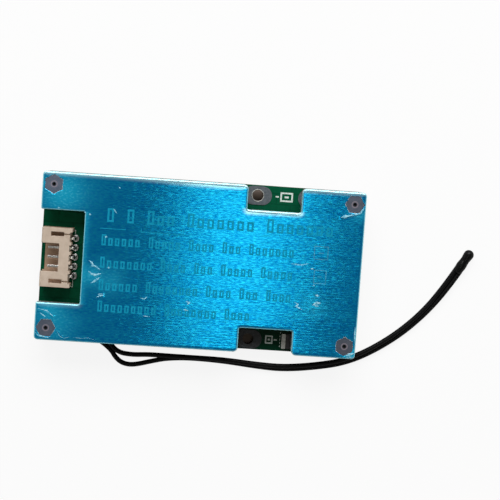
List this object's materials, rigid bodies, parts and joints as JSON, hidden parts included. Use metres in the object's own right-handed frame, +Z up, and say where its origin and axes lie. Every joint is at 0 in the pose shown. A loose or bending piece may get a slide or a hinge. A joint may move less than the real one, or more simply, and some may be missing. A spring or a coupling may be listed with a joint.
{
  "type": "battery management board",
  "caption": "Battery management board: a notched aluminium heat plate in blue film over a green circuit board, with a side-entry balance connector and a black sensor lead.",
  "frame": {"origin": "middle of the board in plan, at the level of the screw heads that it stands on", "axes": "+X along the length, away from the balance connector; +Y across it, towards the power notch with two pads; +Z up through the heat plate"},
  "size_m": [0.0931, 0.0411, 0.0088],
  "materials": {
    "heat_plate": "mill finish, sheared edges",
    "protective_film": "clear blue film, glossy, creased",
    "standoff_steel": "turned, dark zinc",
    "screw_steel": "zinc plated",
    "circuit_board": "green solder mask, satin gloss",
    "tinned_pads": "solder levelled",
    "solder": "bright solder",
    "tinned_leads": "matt tin",
    "mould_black": "moulded epoxy",
    "shunt_alloy": "dark alloy strip",
    "chip_resistor_top": "black glaze",
    "chip_capacitor": "tan ceramic",
    "thermal_pad": "soft grey silicone",
    "connector_nylon": "moulded beige nylon",
    "connector_pins": "tin over brass",
    "lead_insulation": "flexible black insulation, slight gloss",
    "bead_epoxy": "dipped black epoxy"
  },
  "bodies": {
    "root": {"heat_plate": "heat_plate", "protective_film": "protective_film", "standoffs": "standoff_steel", "board_screws": "screw_steel", "circuit_board": "circuit_board", "power_pads": "tinned_pads", "shunt_elements": "shunt_alloy", "shunt_ends": "tinned_leads", "mosfet_bodies": "mould_black", "mosfet_leads": "tinned_leads", "thermal_pad": "thermal_pad", "connector_housing": "connector_nylon", "connector_pins": "connector_pins", "connector_solder": "solder", "protection_chip": "mould_black", "protection_chip_leads": "tinned_leads", "balance_transistors": "mould_black", "balance_transistor_leads": "tinned_leads", "driver_transistors": "mould_black", "driver_transistor_leads": "tinned_leads", "balance_resistors": "chip_resistor_top", "balance_resistor_ends": "tinned_leads", "filter_resistors": "chip_resistor_top", "filter_resistor_ends": "tinned_leads", "filter_capacitors": "chip_capacitor", "filter_capacitor_ends": "tinned_leads", "back_tracks": "tinned_pads", "sensor_core_upper": "lead_insulation", "sensor_core_lower": "lead_insulation", "sensor_bead": "bead_epoxy", "sensor_solder": "solder"}
  },
  "joints": []
}
